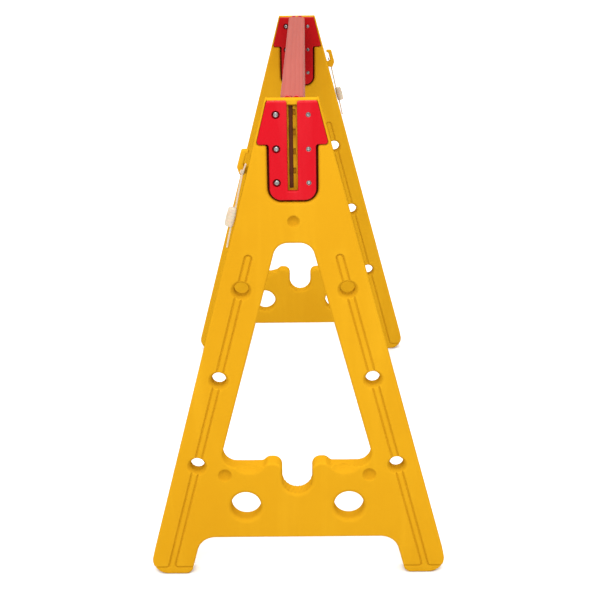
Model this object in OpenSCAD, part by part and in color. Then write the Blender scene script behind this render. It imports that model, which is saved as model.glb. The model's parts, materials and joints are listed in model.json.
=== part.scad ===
// Folding sawhorse: two one-piece A-frames hinged to the ends of a timber beam.
// X runs across the frames, Y along the beam, Z up. The origin is on the floor, under
// the middle of the beam. The front frame stands at -Y; the rear end is the same
// assembly turned half a turn about Z.

/* [A-frame] */
// Height of the frame, floor to beam top
frame_h = 865; // [855:1:875]
// Thickness of the moulded panel
frame_t = 35; // [33:0.5:38]
// Half width of the frame at the floor, corners not yet rounded
foot_half_w = 272.6; // [270:0.2:277]
// Half width of the frame at the top
head_half_w = 43.2; // [42.4:0.2:46]
// Height of the cross bar's underside
bar_bottom_z = 75; // [70:1:82]
// Height of the ledge on top of the cross bar
bar_top_z = 215; // [213:1:219]
// Height of the arch at the top of the big opening
arch_z = 627.5; // [620:0.5:637]
// Diameter of the three stake holes in each leg
leg_hole_d = 25; // [22:0.5:28]
// Diameter of the two large holes in the cross bar
bar_hole_d = 53; // [50:0.5:56]
// Width of the stretcher notch in the cross bar
notch_w = 53; // [48:1:54]

/* [Beam] */
// Thickness of the board
beam_t = 38; // [36:0.5:38]
// Depth of the board
beam_h = 140; // [138:1:144]
// Distance of each hinge pin from the middle of the beam
pin_y = 500; // [450:5:600]

/* [Hinge and brackets] */
// Thickness of each bracket plate
plate_t = 10; // [9:0.5:11]
// How far a bracket plate stands proud of the panel
plate_proud = 1; // [0.5:0.25:1.5]
// Distance from the pin to the inner face of the panel
pin_offset = 22.5; // [22.5:0.25:25]
// Diameter of the hinge pin
pin_d = 12; // [10:0.5:14]
// Height of one hinge lug
lug_h = 8; // [6:0.5:9]
// Distance between bracket screws, one above the other
screw_pitch = 55.6; // [53:0.2:57]

/* [Hidden] */
$fn = 64;
fit_gap = 0.02;          // slip between a fixed pin, screw or insert and its hole
past = 1;                // how far a cutter runs past a face

lean = (foot_half_w - head_half_w) / frame_h;    // sideways run of a leg per mm of height
lean_deg = atan(lean);
inner_y = -pin_y - pin_offset;                   // inner face of the front panel
outer_y = inner_y - frame_t;                     // its outer face
mid_y = inner_y - frame_t / 2;

leg_w = 77.4;            // width of a leg, measured level
foot_w = 78;             // width of a foot at the floor
relief_d = 4;            // depth of the channels and foot bands
edge_cut = 3;            // chamfer on the long outer edges
channel_w = 13.5;
channel_top_z = 601;
leg_hole_z = [545.5, 382, 218.5];
dish_r = 15.5;           // dish round each stake hole, on both faces
dish_d = 10;
bar_hole = [92, 137.5];
rim_cut = 4;             // chamfer round the large holes
foot_band_z = 15;        // the tips of the feet are thinner below this height
dimples = [[0, 665, 11], [127.5, 200, 13], [-127.5, 200, 13]];
dimple_d = 5;
scoop_x = 84;            // middle of the scooped edge on each ledge
scoop_r = 42;
scoop_dip = 8;
scoop_d = 7;
notch_floor_z = 163;
bump_r = 16;
bump_h = 8;

plate_top_z = frame_h - 2;
plate_top_half = 40.7;
plate_corner_r = 4;
lobe_z = 793;
lobe_half = 58.4;
lobe_r = 5;
tongue_half = 37.9;
tongue_z = 701;
tongue_r = 19;
slot_half = 8.2;
slot_z = [716.5, 856];
pocket_d = plate_t - plate_proud;
pocket_play = 0.5;       // clearance round the lobes of a plate
tongue_gap = 3.5;        // wider gap round its tongue
ear_r = 7.3;             // two small ears on top of the inner plate
ear_top_z = frame_h + 1.5;

lug_z = [746.8, 778.7, 810.6, 842.5];
lug_neck_half = 8;
lug_r = 12;
lug_play = 1;            // room above and below a lug in the beam
lug_bore_r = pin_d / 2 + 0.05;
washer_t = 0.7;
washer_r = 13;
leaf_t = 5;
leaf_half = 14;
leaf_z = [718, 853.5];
fin_x = [-5.4, 1];       // the leaf's fin, seen through the slit in the head
fin_sunk = 1.5;          // how far its front lies behind the window's floor
window_d = 6;            // depth of the window behind the outer plate
lug_mark_x = 5.6;        // shallow marks on the window's floor in front of the lugs
lug_mark_d = 1.5;
lug_mark_h = 10;
leaf_play = 0.2;

screw_x = 26;
screw_z = [for (i = [-1:1]) 785.8 + i * screw_pitch];
screw_r = 3;
screw_hole_r = 3.3;
screw_tip = 1.5;         // how far a screw ends below the far face
head_r = 4.8;
head_h = 5;
recess_r = 6.75;
recess_d = 6;
socket_r = 2.9;
socket_d = 3;
insert_r = 4;
insert_sunk = 0.4;

heel_gap = 0.4;          // gap between the beam's heel and the inner plate
beam_edge_r = 3;
notch_back = 1.5;        // room behind a lug
pin_top_z = frame_h - 10;
keeper_t = 3;
keeper_half = 13;
keeper_r = 6;
keeper_y = [pin_y + 13, pin_y - 42];
keeper_screw_y = [pin_y - 18, pin_y - 34];
keeper_screw_r = 2;
keeper_screw_l = 25;
keeper_head_r = 4;
keeper_head_h = 2.2;

stay_path = [[762, 5], [743, 6.8], [711, 5.4], [691, 4.4], [655, 4.4], [621, 2.8]];
stay_y = [2, 8.5];       // front and back of the strap, from the panel's face
strap_w = 3.2;
peg_z = 748;             // peg that holds the strap on the hook
peg_r = 2;
peg_l = 8;
grip_z = 673;
grip_l = 32;
grip_r = 8;
grip_end_r = 6.8;
grip_out = 8.7;          // how far the grip's axis lies outside the panel's edge
hook_t = 14;
hook_root = 8;
hook_root_z = [742, 755.5];
root_sunk = 6;           // the root's front is sunk between the strap and the panel

yellow = [0.93, 0.68, 0.13];
red = [0.90, 0.12, 0.17];
dark_red = [0.38, 0.07, 0.06];
timber = [0.86, 0.44, 0.39];
steel = [0.74, 0.74, 0.76];
clear_strap = [0.94, 0.86, 0.76];

// ---- helpers ----

function unit(v) = v / norm(v);

// Points of the arc that rounds corner q = [x, z, radius] between its neighbours p and s.
function corner_arc(p, q, s, n = 6) =
    let (c = [q.x, q.y], u = unit([p.x, p.y] - c), v = unit([s.x, s.y] - c),
         half = acos(u * v) / 2,
         mid = c + unit(u + v) * q.z / sin(half),
         from = c + u * q.z / tan(half) - mid,
         to = c + v * q.z / tan(half) - mid,
         a = atan2(from.y, from.x),
         turn = (atan2(to.y, to.x) - a + 540) % 360 - 180)
    q.z == 0 ? [c] : [for (i = [0:n]) mid + q.z * [cos(a + turn * i / n), sin(a + turn * i / n)]];

// An outline with its corners [x, z, radius] rounded.
function rounded(pts) =
    let (n = len(pts))
    [for (i = [0:n - 1]) each corner_arc(pts[(i + n - 1) % n], pts[i], pts[(i + 1) % n])];

// The right half of an outline, followed by its mirror image.
function both_sides(pts) =
    concat(pts, [for (i = [len(pts) - 1:-1:0]) [-pts[i].x, pts[i].y, pts[i].z]]);

// Half width of the frame's outline at height z.
function edge_x(z) = foot_half_w - lean * z;

// Middle line of the right leg at height z.
function leg_x(z) = edge_x(z) - leg_w / 2;

// Stands a flat shape drawn in X and Z up between two Y values.
module slab(y0, y1) {
    translate([0, y1, 0]) rotate([90, 0, 0]) linear_extrude(y1 - y0) children();
}

// An upright box between two Y values.
module block(x, y, z) {
    translate([x[0], y[0], z[0]]) cube([x[1] - x[0], y[1] - y[0], z[1] - z[0]]);
}

// A round bar or hole along Y.
module rod_y(x, z, y0, y1, r) {
    translate([x, y1, z]) rotate([90, 0, 0]) cylinder(h = y1 - y0, r = r);
}

// A conical cutter that starts in front of the outer face.
module countersink(x, z, r_face, r_deep, depth) {
    slope = (r_face - r_deep) / depth;
    translate([x, outer_y - past, z]) rotate([-90, 0, 0])
        cylinder(h = depth + past, r1 = r_face + slope * past, r2 = r_deep);
}

module sides() {
    children();
    mirror([1, 0, 0]) children();
}

// Repeats on the inner face what is cut into the outer one.
module faces() {
    children();
    translate([0, 2 * mid_y, 0]) mirror([0, 1, 0]) children();
}

// Turns a piece of the outer face round to the inner face.
module turned() {
    translate([0, 2 * mid_y, 0]) rotate([0, 0, 180]) children();
}

module rear_end() {
    rotate([0, 0, 180]) children();
}

// ---- A-frame ----

module frame_outline() {
    inner_foot = foot_half_w - foot_w;
    polygon(rounded(both_sides([
        [head_half_w, frame_h, 5],
        [foot_half_w, 0, 28],
        [inner_foot, 0, 13],
        [inner_foot - lean * bar_bottom_z, bar_bottom_z, 34]])));
}

// The big opening, with a notch in its floor and a bump on each side of the notch.
module opening_outline() {
    notch_mid_z = notch_floor_z + notch_w / 2;
    difference() {
        union() {
            polygon(rounded(both_sides([
                [edge_x(arch_z) - leg_w, arch_z, 25],
                [edge_x(bar_top_z) - leg_w, bar_top_z, 24]])));
            translate([-notch_w / 2, notch_mid_z]) square([notch_w, bar_top_z - notch_floor_z]);
            translate([0, notch_mid_z]) circle(r = notch_w / 2);
        }
        for (s = [-1, 1])
            translate([s * (notch_w / 2 + bump_r), bar_top_z + bump_h - bump_r])
                circle(r = bump_r);
    }
}

// The channel down the middle of the right leg, with a rounded upper end.
module channel_outline() {
    half = channel_w / 2;
    translate([leg_x(channel_top_z), channel_top_z]) rotate(lean_deg)
        polygon(rounded([
            [half, half, half - 0.1],
            [half, -frame_h, 0],
            [-half, -frame_h, 0],
            [-half, half, half - 0.1]]));
}

// The outer edge's chamfer, as a long three-sided cutter.
module edge_cutter() {
    c = edge_cut;
    translate([foot_half_w, outer_y, 0]) rotate([0, -lean_deg, 0]) translate([0, 0, -c])
        linear_extrude(frame_h + 50)
            polygon([[-c - past, -past], [past, -past], [past, c + past]]);
}

module face_relief() {
    slab(outer_y - past, outer_y + relief_d)
        translate([-foot_half_w - past, -past]) square([2 * (foot_half_w + past), foot_band_z + past]);
    for (d = dimples) {
        ball_r = (d.z * d.z + dimple_d * dimple_d) / (2 * dimple_d);
        translate([d.x, outer_y + dimple_d - ball_r, d.y]) sphere(r = ball_r);
    }
    sides() {
        slab(outer_y - past, outer_y + relief_d) channel_outline();
        for (z = leg_hole_z)
            countersink(leg_x(z), z, dish_r, leg_hole_d / 2, dish_d);
        countersink(bar_hole.x, bar_hole.y, bar_hole_d / 2 + rim_cut, bar_hole_d / 2, rim_cut);
        edge_cutter();
        ledge_scoop();
    }
}

// The front of each ledge dips in a shallow curve.
module ledge_scoop() {
    chord = sqrt(scoop_r * scoop_r - (scoop_r - scoop_dip) * (scoop_r - scoop_dip));
    mid_z = bar_top_z - scoop_dip + scoop_r;
    intersection() {
        countersink(scoop_x, mid_z, scoop_r, scoop_r - scoop_dip, scoop_d);
        block([scoop_x - chord - 4, scoop_x + chord + 4], [outer_y - 5, mid_y],
            [mid_z - scoop_r - past, bar_top_z + 2]);
    }
}

// Recesses in the head: two bracket pockets, the window, the slit and the hinge leaf's seat.
module head_cuts() {
    floor_y = outer_y + pocket_d;
    seat_y = inner_y - pocket_d - leaf_t;
    faces() slab(outer_y - past, floor_y) bracket_outline(pocket_play, tongue_gap, frame_h + 5, 0);
    for (z = screw_z)
        sides() rod_y(screw_x, z, outer_y, inner_y, screw_hole_r);
    block([-slot_half, slot_half], [floor_y - past, floor_y + window_d], slot_z);
    block([fin_x[0] - leaf_play, fin_x[1] + leaf_play], [floor_y, inner_y - pocket_d],
        [leaf_z[0] - leaf_play, leaf_z[1] + leaf_play]);
    for (z = lug_z)
        block([fin_x[0], lug_mark_x], [floor_y, floor_y + window_d + lug_mark_d],
            [z - lug_mark_h / 2, z + lug_mark_h / 2]);
    block([-leaf_half - leaf_play, leaf_half + leaf_play], [seat_y, inner_y],
        [leaf_z[0] - leaf_play, leaf_z[1] + leaf_play]);
}

// Seat in the left edge for the hook's root.
module hook_seat() {
    x = -edge_x((hook_root_z[0] + hook_root_z[1]) / 2);
    block([x - 10, x + hook_root + leaf_play],
        [mid_y - hook_t / 2 + root_sunk - leaf_play, mid_y + hook_t / 2 + leaf_play],
        [hook_root_z[0] - leaf_play, hook_root_z[1] + leaf_play]);
}

module frame() {
    color(yellow) difference() {
        slab(outer_y, inner_y) frame_outline();
        slab(outer_y - past, inner_y + past) opening_outline();
        sides() {
            for (z = leg_hole_z)
                rod_y(leg_x(z), z, outer_y - past, inner_y + past, leg_hole_d / 2);
            rod_y(bar_hole.x, bar_hole.y, outer_y - past, inner_y + past, bar_hole_d / 2);
        }
        faces() face_relief();
        head_cuts();
        hook_seat();
    }
}

// ---- brackets and their screws ----

// Outline of a bracket plate, grown by one clearance round the lobes and another round
// the tongue.
module bracket_outline(lobe_play, tongue_play, top_z, top_r) {
    lobe_slope = (lobe_half - plate_top_half) / (plate_top_z - lobe_z);
    tongue = tongue_half + tongue_play;
    polygon(rounded(both_sides([
        [lobe_half + lobe_play - lobe_slope * (top_z - lobe_z), top_z, top_r],
        [lobe_half + lobe_play, lobe_z - lobe_play, lobe_r],
        [tongue, lobe_z - lobe_play, 0],
        [tongue, tongue_z - tongue_play, tongue_r + tongue_play]])));
}

// The slot in a plate; it is open at the top of the outer plate, with rounded lips.
module slot_outline(open_top) {
    lip_z = plate_top_z + 0.05;
    if (open_top)
        polygon(rounded(both_sides([
            [plate_top_half, lip_z + 5, 0],
            [plate_top_half, lip_z, 0],
            [slot_half, lip_z, plate_corner_r],
            [slot_half, slot_z[0], 1.5]])));
    else
        translate([-slot_half, slot_z[0]]) square([2 * slot_half, slot_z[1] - slot_z[0]]);
}

// A plate as it lies on the outer face: screws enter on the left, inserts sit on the right.
module bracket(ears) {
    face_y = outer_y - plate_proud;
    back_y = outer_y + pocket_d;
    color(red) difference() {
        union() {
            slab(face_y, back_y) bracket_outline(0, 0, plate_top_z, plate_corner_r);
            if (ears)
                for (s = [-1, 1]) rod_y(s * ear_r, ear_top_z - ear_r, face_y, back_y, ear_r);
        }
        slab(face_y - past, back_y + past) slot_outline(!ears);
        for (z = screw_z) {
            rod_y(-screw_x, z, face_y - past, face_y + recess_d, recess_r);
            rod_y(-screw_x, z, face_y, back_y + past, screw_hole_r);
            rod_y(screw_x, z, face_y - past, back_y + past, insert_r + fit_gap);
        }
    }
}

// Three socket screws that enter through the outer plate.
module bracket_screws() {
    seat_y = outer_y - plate_proud + recess_d;
    color(steel) for (z = screw_z) difference() {
        union() {
            rod_y(-screw_x, z, seat_y - head_h, seat_y, head_r);
            rod_y(-screw_x, z, seat_y - past, inner_y + plate_proud - screw_tip, screw_r);
        }
        translate([-screw_x, seat_y - head_h + socket_d, z]) rotate([90, 0, 0])
            cylinder(h = socket_d + past, r = socket_r, $fn = 6);
    }
}

// The threaded inserts in the inner plate that those screws reach.
module bracket_inserts() {
    color(steel) for (z = screw_z) difference() {
        rod_y(-screw_x, z, inner_y - pocket_d, inner_y + plate_proud - insert_sunk, insert_r);
        rod_y(-screw_x, z, inner_y - pocket_d - past, inner_y + past * 2, screw_r + fit_gap);
    }
}

// ---- hinge ----

// Steel leaf clamped behind the inner plate, with lugs that reach out to the pin.
module hinge_leaf() {
    back_y = inner_y - pocket_d;
    fin_y = outer_y + pocket_d + window_d + fin_sunk;
    color(dark_red) difference() {
        union() {
            block([-leaf_half, leaf_half], [back_y - leaf_t, back_y], leaf_z);
            block(fin_x, [fin_y, back_y - past], leaf_z);
            for (z = lug_z) {
                lug_span = [z - lug_h / 2, z + lug_h / 2];
                block([-lug_neck_half, lug_neck_half], [back_y - past, -pin_y], lug_span);
                translate([0, -pin_y, lug_span[0]]) cylinder(h = lug_h, r = lug_r);
            }
        }
        translate([0, -pin_y, lug_z[0] - lug_h]) cylinder(h = frame_h, r = lug_bore_r);
    }
}

// Nylon washers between the lugs and the timber.
module thrust_washers() {
    color("white") for (z = lug_z)
        translate([0, -pin_y, z + lug_h / 2]) difference() {
            cylinder(h = washer_t, r = washer_r);
            translate([0, 0, -past]) cylinder(h = washer_t + 2 * past, r = lug_bore_r);
        }
}

module hinge_pin() {
    color(steel) translate([0, -pin_y, frame_h - beam_h])
        cylinder(h = pin_top_z - frame_h + beam_h, r = pin_d / 2);
}

// Plate under the beam that keeps the pin from dropping out.
module pin_keeper() {
    z = frame_h - beam_h - keeper_t;
    color(steel) difference() {
        translate([0, 0, z]) linear_extrude(keeper_t)
            polygon(rounded(both_sides([
                [keeper_half, -keeper_y[0], keeper_r],
                [keeper_half, -keeper_y[1], keeper_r]])));
        for (y = keeper_screw_y)
            translate([0, -y, z - past])
                cylinder(h = keeper_t + 2 * past, r = keeper_screw_r + fit_gap);
    }
}

module keeper_screws() {
    z = frame_h - beam_h - keeper_t;
    color(steel) for (y = keeper_screw_y) translate([0, -y, z]) {
        translate([0, 0, -keeper_head_h]) cylinder(h = keeper_head_h, r = keeper_head_r);
        translate([0, 0, -past]) cylinder(h = keeper_screw_l + past, r = keeper_screw_r);
    }
}

// ---- beam ----

// Plan of the beam: each end is round on the side it folds to and square on the other,
// where the heel stops the frame at right angles.
module beam_plan() {
    heel_y = pin_y + pin_offset - plate_proud - heel_gap;
    translate([-beam_t / 2, -pin_y]) square([beam_t, 2 * pin_y]);
    for (end = [0, 180]) rotate(end) {
        translate([0, -pin_y]) circle(r = beam_t / 2);
        translate([0, -heel_y]) square([beam_t / 2, heel_y]);
    }
}

module beam() {
    bottom_z = frame_h - beam_h;
    color(timber) difference() {
        intersection() {
            slab(-2 * pin_y, 2 * pin_y) polygon(rounded(both_sides([
                [beam_t / 2, frame_h, beam_edge_r],
                [beam_t / 2, bottom_z, beam_edge_r]])));
            translate([0, 0, bottom_z - past]) linear_extrude(beam_h + 2 * past) beam_plan();
        }
        for (end = [0, 180]) rotate([0, 0, end]) {
            for (z = lug_z)
                block([-beam_t, beam_t], [-pin_y - beam_t, -pin_y + lug_r + notch_back],
                    [z - lug_h / 2 - lug_play, z + lug_h / 2 + lug_play]);
            translate([0, -pin_y, bottom_z - past])
                cylinder(h = pin_top_z - bottom_z + 2 * past, r = pin_d / 2 + fit_gap);
            for (y = keeper_screw_y)
                translate([0, -y, bottom_z - past])
                    cylinder(h = keeper_screw_l, r = keeper_screw_r + fit_gap);
        }
    }
}

// ---- stay: hook, strap and grip on the left edge of each frame ----

module stay_hook() {
    root_x = edge_x((hook_root_z[0] + hook_root_z[1]) / 2) - hook_root;
    face_y = mid_y - hook_t / 2;
    color(yellow) mirror([1, 0, 0]) difference() {
        slab(face_y, mid_y + hook_t / 2) polygon(rounded([
            [root_x, hook_root_z[0], 1],
            [root_x, hook_root_z[1], 1],
            [75, hook_root_z[1], 0],
            [80.4, 757.5, 2],
            [75.4, 776.5, 1.5],
            [71.4, 776.5, 1],
            [70.6, 782.5, 2],
            [83, 782.5, 4],
            [90.8, 754, 7],
            [86, 739.5, 5],
            [78.5, hook_root_z[0], 0]]));
        block([root_x - past, 79.6], [face_y - past, face_y + root_sunk],
            [hook_root_z[0] - 5, hook_root_z[1] + 5]);
        peg(fit_gap);
    }
}

// The peg that holds the strap, on the right-hand side; the stay is mirrored as a whole.
module peg(play) {
    rod_y(strap_x(peg_z) + strap_w / 2, peg_z, outer_y + stay_y[0] + past,
        mid_y - hook_t / 2 + peg_l + play, peg_r + play);
}

// Middle of the strap at height z.
function strap_x(z) = edge_x(z) + lookup(-z, [for (p = stay_path) [-p[0], p[1]]]);

module strap_outline(play) {
    half = strap_w / 2 + play;
    n = len(stay_path) - 1;
    polygon(rounded(concat(
        [for (i = [0:n]) [strap_x(stay_path[i][0]) + half, stay_path[i][0],
            i == 0 || i == n ? 1.2 : 12]],
        [for (i = [n:-1:0]) [strap_x(stay_path[i][0]) - half, stay_path[i][0],
            i == 0 || i == n ? 1.2 : 12]])));
}

module stay_strap() {
    color(clear_strap) mirror([1, 0, 0]) {
        slab(outer_y + stay_y[0], outer_y + stay_y[1]) strap_outline(0);
        peg(0);
        rod_y(strap_x(peg_z) + strap_w / 2, peg_z, outer_y + stay_y[1] - past, mid_y - hook_t / 2, 3.5);
    }
}

// Barrel-shaped grip on the strap.
module strap_grip() {
    steps = 10;
    side = [for (i = [-steps:steps])
        [grip_end_r + (grip_r - grip_end_r) * cos(90 * i / steps), grip_l / 2 * i / steps]];
    color(clear_strap) mirror([1, 0, 0]) difference() {
        translate([edge_x(grip_z) + grip_out, outer_y + (stay_y[0] + stay_y[1]) / 2, grip_z])
            rotate([0, -lean_deg, 0])
                rotate_extrude() polygon(concat([[0, -grip_l / 2]], side, [[0, grip_l / 2]]));
        slab(outer_y + stay_y[0] - fit_gap, outer_y + stay_y[1] + fit_gap) strap_outline(fit_gap);
    }
}

// ---- nodes ----

beam();
frame();  // front_frame
bracket(false);  // front_outer_bracket
turned() bracket(true);  // front_inner_bracket
bracket_screws();  // front_outer_screws
bracket_inserts();  // front_outer_inserts
turned() bracket_screws();  // front_inner_screws
turned() bracket_inserts();  // front_inner_inserts
hinge_leaf();  // front_hinge_leaf
hinge_pin();  // front_hinge_pin
thrust_washers();  // front_thrust_washers
pin_keeper();  // front_pin_keeper
keeper_screws();  // front_keeper_screws
stay_hook();  // front_stay_hook
stay_strap();  // front_stay_strap
strap_grip();  // front_strap_grip
rear_end() frame();  // rear_frame
rear_end() bracket(false);  // rear_outer_bracket
rear_end() turned() bracket(true);  // rear_inner_bracket
rear_end() bracket_screws();  // rear_outer_screws
rear_end() bracket_inserts();  // rear_outer_inserts
rear_end() turned() bracket_screws();  // rear_inner_screws
rear_end() turned() bracket_inserts();  // rear_inner_inserts
rear_end() hinge_leaf();  // rear_hinge_leaf
rear_end() hinge_pin();  // rear_hinge_pin
rear_end() thrust_washers();  // rear_thrust_washers
rear_end() pin_keeper();  // rear_pin_keeper
rear_end() keeper_screws();  // rear_keeper_screws
rear_end() stay_hook();  // rear_stay_hook
rear_end() stay_strap();  // rear_stay_strap
rear_end() strap_grip();  // rear_strap_grip
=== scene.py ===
import json
import math

import bmesh
import bpy
import numpy as np
from mathutils import Matrix, Vector
from mathutils.geometry import delaunay_2d_cdt


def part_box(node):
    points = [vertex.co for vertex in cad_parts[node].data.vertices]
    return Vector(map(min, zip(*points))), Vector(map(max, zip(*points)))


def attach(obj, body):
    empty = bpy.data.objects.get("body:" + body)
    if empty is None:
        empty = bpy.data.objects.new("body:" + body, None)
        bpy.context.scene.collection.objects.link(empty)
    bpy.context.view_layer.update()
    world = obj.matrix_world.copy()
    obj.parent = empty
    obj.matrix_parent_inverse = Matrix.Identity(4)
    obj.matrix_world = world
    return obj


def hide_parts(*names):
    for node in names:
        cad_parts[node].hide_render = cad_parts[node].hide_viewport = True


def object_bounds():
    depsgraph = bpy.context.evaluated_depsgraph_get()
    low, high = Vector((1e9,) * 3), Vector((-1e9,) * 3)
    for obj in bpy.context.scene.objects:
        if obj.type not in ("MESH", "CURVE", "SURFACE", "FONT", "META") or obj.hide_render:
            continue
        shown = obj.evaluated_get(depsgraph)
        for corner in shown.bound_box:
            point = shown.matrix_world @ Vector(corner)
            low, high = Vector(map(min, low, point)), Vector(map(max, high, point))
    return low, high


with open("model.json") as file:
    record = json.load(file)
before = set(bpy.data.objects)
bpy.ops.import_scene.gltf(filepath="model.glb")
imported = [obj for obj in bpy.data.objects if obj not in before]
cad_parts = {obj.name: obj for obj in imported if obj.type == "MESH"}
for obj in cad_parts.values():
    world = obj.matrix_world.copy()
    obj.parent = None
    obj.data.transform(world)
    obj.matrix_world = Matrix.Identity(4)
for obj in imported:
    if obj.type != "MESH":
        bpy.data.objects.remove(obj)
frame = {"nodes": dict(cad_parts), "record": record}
cad_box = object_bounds()

# ---- sizes in millimetres, as in the CAD source ----

MM = 0.001
SHARP_ANGLE = 38.0
FRONT_Y, BACK_Y = (corner.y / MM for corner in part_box("front_frame"))
TOP_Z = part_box("front_frame")[1].z / MM
MID_Y = (FRONT_Y + BACK_Y) / 2
FOOT_HALF, HEAD_HALF = 272.6, 43.2
LEAN = (FOOT_HALF - HEAD_HALF) / TOP_Z
LEG_W, FOOT_W = 77.4, 78.0
BAR_BOTTOM_Z, BAR_TOP_Z, ARCH_Z = 75.0, 215.0, 627.5
NOTCH_HALF, NOTCH_FLOOR_Z, BUMP_Z = 26.5, 163.0, 223.0
LEG_HOLE_Z, LEG_HOLE_R = (545.5, 382.0, 218.5), 12.5
DISH_R, DISH_D, DISH_LIP = 15.5, 9.0, 3.5          # the dish round each leg hole
BAR_HOLE, BAR_HOLE_R, BAR_HOLE_RIM = (92.0, 137.5), 26.5, 8.0
CHANNEL_HALF, CHANNEL_TOP_Z, CHANNEL_D = 6.75, 601.0, 1.3
CREASE_AT, CREASE_HALF, CREASE_D = -0.9, 2.9, 1.9  # the crease along each side of a channel
FOOT_BAND_Z = 15.0
DIMPLES = ((0.0, 665.0, 11.0), (127.5, 200.0, 13.0), (-127.5, 200.0, 13.0))
DIMPLE_D = 8.0
SCOOP = (84.2, 236.0, 35.6)                        # a circle that dips into each ledge
SCOOP_FRONT, SCOOP_BACK = 1.4, 0.35                # how steeply it is cut into each face
OPENING_RIM, LEDGE_RIM, OUTLINE_RIM = 4.0, 7.0, 3.5
PLATE_TOP_Z, PLATE_TOP_HALF = 863.0, 40.7
LOBE_Z, LOBE_HALF = 793.0, 58.4
TONGUE_HALF, TONGUE_Z, TONGUE_R = 37.9, 701.0, 19.0
POCKET_D, GAP_D, WINDOW_D, SEAT_D = 9.0, 16.0, 15.0, 14.0
SLOT_HALF, SLOT_Z = 8.2, (716.5, 856.0)
FIN_X, LEAF_Z = (-5.4, 1.0), (718.0, 853.5)
LUG_Z = (746.8, 778.7, 810.6, 842.5)
MARK_D = 3.5                                       # the marks beside the fin, at the lugs
SCREW_X, SCREW_Z = 26.0, (730.2, 785.8, 841.4)
PLATE_PROUD, RECESS_R, RECESS_RIM, RECESS_D, HEAD_H = 1.0, 6.75, 0.6, 6.0, 5.0
EAR_R, EAR_PROUD = 7.3, 1.5
PIN_Y, BEAM_HALF, BEAM_BOTTOM_Z, BEAM_ARRIS = 500.0, 19.0, 725.0, 4.0
NOTCH_IN, NOTCH_TALL = 13.5, 5.0                   # the board's notches: depth, half height
STAY_PATH = ((762.0, 5.0), (743.0, 6.8), (711.0, 5.4), (691.0, 4.4), (655.0, 4.4), (621.0, 2.8))
STAY_Y = (FRONT_Y + 2.0, FRONT_Y + 8.5)
STRAP_HALF, PEG_Z = 1.6, 748.0
GRIP_Z, GRIP_OUT, GRIP_HALF = 673.0, 8.7, 16.0


def edge_x(z):
    """Half width of the A-frame's outline at height z."""
    return FOOT_HALF - LEAN * z


def leg_x(z):
    """Middle line of the right leg at height z."""
    return edge_x(z) - LEG_W / 2


# ---- outlines ----


def both_sides(right):
    """The right half of an outline, followed by its mirror image."""
    return right + [(-x, z, r) for x, z, r in reversed(right)]


def rounded(corners, out=0.0, step=8.0):
    """Points of the outline with corners (x, z, radius), moved outwards by out."""
    p = np.array([c[:2] for c in corners], float)
    radii = [c[2] for c in corners]
    q = np.roll(p, -1, 0)
    if np.sum(p[:, 0] * q[:, 1] - q[:, 0] * p[:, 1]) < 0:
        p, radii = p[::-1], radii[::-1]
    points = []
    for i, radius in enumerate(radii):
        into = p[i] - p[i - 1]
        away = p[(i + 1) % len(p)] - p[i]
        into, away = into / np.linalg.norm(into), away / np.linalg.norm(away)
        turn = math.atan2(into[0] * away[1] - into[1] * away[0], into @ away)
        side_a = np.array([into[1], -into[0]])
        side_b = np.array([away[1], -away[0]])
        corner = p[i] + (side_a + side_b) * out / (1 + side_a @ side_b)
        r = max(radius + (out if turn > 0 else -out), 0.0)
        if r < 0.01 or abs(turn) < 0.001:
            points.append(corner)
            continue
        start = corner - into * r * math.tan(abs(turn) / 2)
        centre = start - side_a * r * math.copysign(1, turn)
        arm = start - centre
        count = math.ceil(math.degrees(abs(turn)) / step)
        for k in range(count + 1):
            c, s = math.cos(turn * k / count), math.sin(turn * k / count)
            points.append(centre + [c * arm[0] - s * arm[1], s * arm[0] + c * arm[1]])
    return np.array(points)


class Loop:
    """A closed outline of rounded corners, or a circle. edge is how far its rim is rounded
    over on the front and on the back of a panel."""

    def __init__(self, corners=None, disc=None, edge=(0.0, 0.0)):
        self.corners, self.disc, self.edge = corners, disc, edge

    def line(self, out=0.0):
        if self.disc is None:
            return rounded(self.corners, out)
        x, z, r = self.disc
        count = max(24, int(3.2 * (r + out)) // 4 * 4)
        turn = np.linspace(0, 2 * math.pi, count, endpoint=False)
        return np.stack([x + (r + out) * np.cos(turn), z + (r + out) * np.sin(turn)], 1)

    def distance(self, p):
        """Distance of each point to the outline, negative inside it."""
        if self.disc is not None:
            return np.hypot(p[:, 0] - self.disc[0], p[:, 1] - self.disc[1]) - self.disc[2]
        a = rounded(self.corners)
        near = np.full(len(p), 1e9)
        inside = np.zeros(len(p), bool)
        for (x0, z0), (x1, z1) in zip(a, np.roll(a, -1, 0)):
            dx, dz = x1 - x0, z1 - z0
            px, pz = p[:, 0] - x0, p[:, 1] - z0
            t = np.clip((px * dx + pz * dz) / max(dx * dx + dz * dz, 1e-12), 0, 1)
            near = np.minimum(near, (px - t * dx) ** 2 + (pz - t * dz) ** 2)
            if z0 != z1:
                crosses = (z0 > p[:, 1]) != (z1 > p[:, 1])
                inside ^= crosses & (px < dx * pz / dz)
        return np.where(inside, -1, 1) * np.sqrt(near)


def box_loop(x0, x1, z0, z1, r=0.0):
    return Loop([(x0, z0, r), (x1, z0, r), (x1, z1, r), (x0, z1, r)])


# ---- panels: a flat outline with holes, whose two faces are sunk by a depth function ----

ROUND = [1 - math.cos(math.radians(a)) for a in (0, 15, 30, 45, 60, 75, 90)]


def rim(distance, radius):
    """How far a rounded rim falls away at this distance from its edge."""
    radius = np.broadcast_to(radius, distance.shape)
    left = np.clip(radius - distance, 0, radius)
    return radius - np.sqrt(np.maximum(radius**2 - left**2, 0))


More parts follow.
